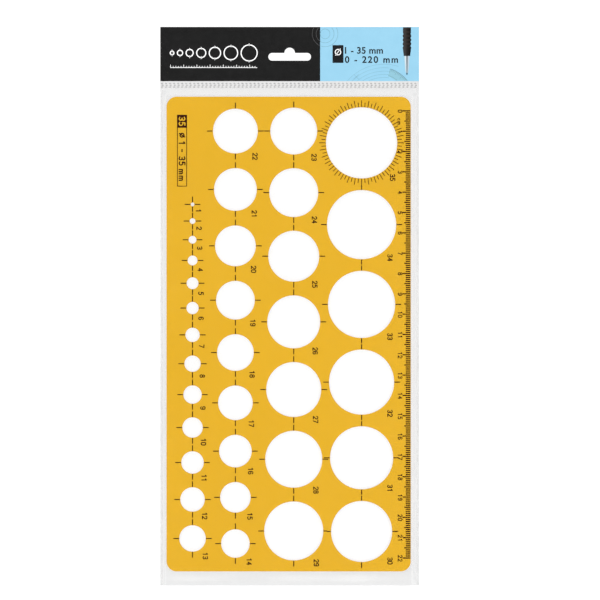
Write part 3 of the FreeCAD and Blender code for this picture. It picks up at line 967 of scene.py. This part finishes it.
def pencil_picture():
    """A mechanical pencil, point down, at the blue panel's right."""
    levels = [GRIP_LOW + (GRIP_HIGH - GRIP_LOW) * n / GRIP_LEVELS for n in range(GRIP_LEVELS + 1)]
    grip = Artwork()
    grip.spindle(PENCIL_MIDDLE, [(y, grip_half(y)) for y in levels])
    grip.piece("pencil_grip_print", pencil_grip(), "header_black")
    tip = Artwork()
    tip.spindle(PENCIL_MIDDLE, TIP_OUTLINE)
    tip.piece("pencil_tip_print", pencil_metal(), "header_white")
    lead = Artwork()
    lead.spindle(PENCIL_MIDDLE, LEAD_OUTLINE)
    lead.piece("pencil_lead_print", PRINT_DARK, "header_black")


# ---- Studio -----------------------------------------------------------------------------------
FLOOR_HALF = 20.0
FLOOR_GLOW = 0.77  # the floor is a lit table, which keeps the light in small holes even
FLOOR_GREYS = (grey(0.24), grey(0.255))

# (height of the direction, share of the full light): bright from the shoulders of the dome, and
# dim low down and straight overhead, where the film and the print would mirror it
DOME = (
    (0.0, 0.44),
    (0.12, 0.23),
    (0.3, 0.16),
    (0.34, 0.5),
    (0.37, 0.5),
    (0.41, 0.17),
    (0.5, 0.23),
    (0.62, 0.84),
    (0.95, 0.98),
    (0.972, 0.07),
    (1.0, 0.035),
)
DOME_STRENGTH = 2.33


def studio():
    """A white lit floor under a soft dome that is dim straight overhead, so the film stays clear."""
    half = FLOOR_HALF
    corners = [(-half, -half, 0), (half, -half, 0), (half, half, 0), (-half, half, 0)]
    floor = mesh_object("floor", corners, [(0, 1, 2, 3)])
    paper = Shader("floor_paper", Roughness=0.9, Specular_IOR_Level=0.1, Emission_Strength=FLOOR_GLOW)
    paper.principled.inputs["Emission Color"].default_value = (1, 1, 1, 1)
    paper.feed("Base Color", paper.mottled(*FLOOR_GREYS, scale=300, detail=3))
    floor.data.materials.append(paper.material)

    world = bpy.data.worlds.new("studio")
    bpy.context.scene.world = world
    world.use_nodes = True
    nodes, links = world.node_tree.nodes, world.node_tree.links
    direction = nodes.new("ShaderNodeTexCoord")
    split = nodes.new("ShaderNodeSeparateXYZ")
    links.new(direction.outputs["Generated"], split.inputs["Vector"])
    dome = nodes.new("ShaderNodeValToRGB")
    fill_ramp(dome.color_ramp, [(at, grey(level)) for at, level in DOME])
    links.new(split.outputs["Z"], dome.inputs["Fac"])
    background = nodes["Background"]
    background.inputs["Strength"].default_value = DOME_STRENGTH
    links.new(dome.outputs["Color"], background.inputs["Color"])
    bpy.context.scene.view_settings.view_transform = "Standard"


LENS = 200.0
SENSOR = 36.0
VIEW_OVER_LENGTH = 1.0733  # the picture's width as a share of the sleeve's length
VIEW_ASIDE = 0.0185  # the picture's centre from the sleeve's, as shares of its length
VIEW_UP = 0.0111


def camera():
    """Straight down on the printed face, with the header at the top."""
    low, high = CAD_BOX
    length = high.y - low.y
    data = bpy.data.cameras.new("camera")
    data.lens = LENS
    data.sensor_width = SENSOR
    away = VIEW_OVER_LENGTH * length * LENS / SENSOR
    data.clip_end = 10 * away
    made = bpy.data.objects.new("camera", data)
    made.location = (
        (low.x + high.x) / 2 + VIEW_ASIDE * length,
        (low.y + high.y) / 2 + VIEW_UP * length,
        high.z + away,
    )
    bpy.context.scene.collection.objects.link(made)
    bpy.context.scene.camera = made


# ---- The object -------------------------------------------------------------------------------
HOLES = plate_holes()
FILM_WELD = film_weld()
FRONT_FILM = clear_film("clear_film", FILM_SHADED_CLEAR, FILM_SEAL_SHADE, FILM_CLOUD)
BACK_FILM = clear_film("clear_film_back", FILM_CLEAR, 0.0, BACK_CLOUD)
PRINT_WHITE = printed_film("header_print_white", grey(0.86), grey(0.92))
PRINT_DARK = printed_film("header_print_dark", (0.006, 0.007, 0.008), (0.009, 0.0105, 0.012))
PRINT_GREY = printed_film("header_print_grey", (0.075, 0.075, 0.077), (0.095, 0.095, 0.097))
PRINT_BLUE_GREY = printed_film("header_print_blue_grey", (0.13, 0.27, 0.33), (0.16, 0.3, 0.36))
PRINT_FAINT = printed_film("header_print_faint", (0.17, 0.34, 0.43), (0.19, 0.36, 0.45))
PRINT_BAND = printed_film("header_print_band", (0.21, 0.42, 0.51), (0.23, 0.44, 0.53))

CAD_MATERIALS = {
    "header_back": printed_film("header_white", grey(0.8), grey(0.86)),
    "header_black_panel": printed_film("header_black", grey(0.0072), grey(0.009)),
    "header_blue_panel": printed_film("header_blue", (0.24, 0.475, 0.625), (0.255, 0.495, 0.645)),
    "centre_marks_print": plate_ink(),
}
CAD_MATERIALS["header_front"] = CAD_MATERIALS["header_back"]
for ink_node in ("degree_ring", "ruler_ticks", "ruler_numerals", "diameter_numerals", "title_block"):
    CAD_MATERIALS[ink_node + "_print"] = CAD_MATERIALS["centre_marks_print"]
for node, material in CAD_MATERIALS.items():
    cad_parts[node].material_slots[0].material = material

finished(plate(), TEMPLATE, amber_plastic(), "amber_plastic", "template_plate")
film_sheets()
weld("left_weld_bead", "left_side_weld")
weld("right_weld_bead", "right_side_weld")
seal_band()
circle_row()
faint_rings()
faint_arcs()
faint_band()
size_label()
pencil_picture()
studio()
camera()
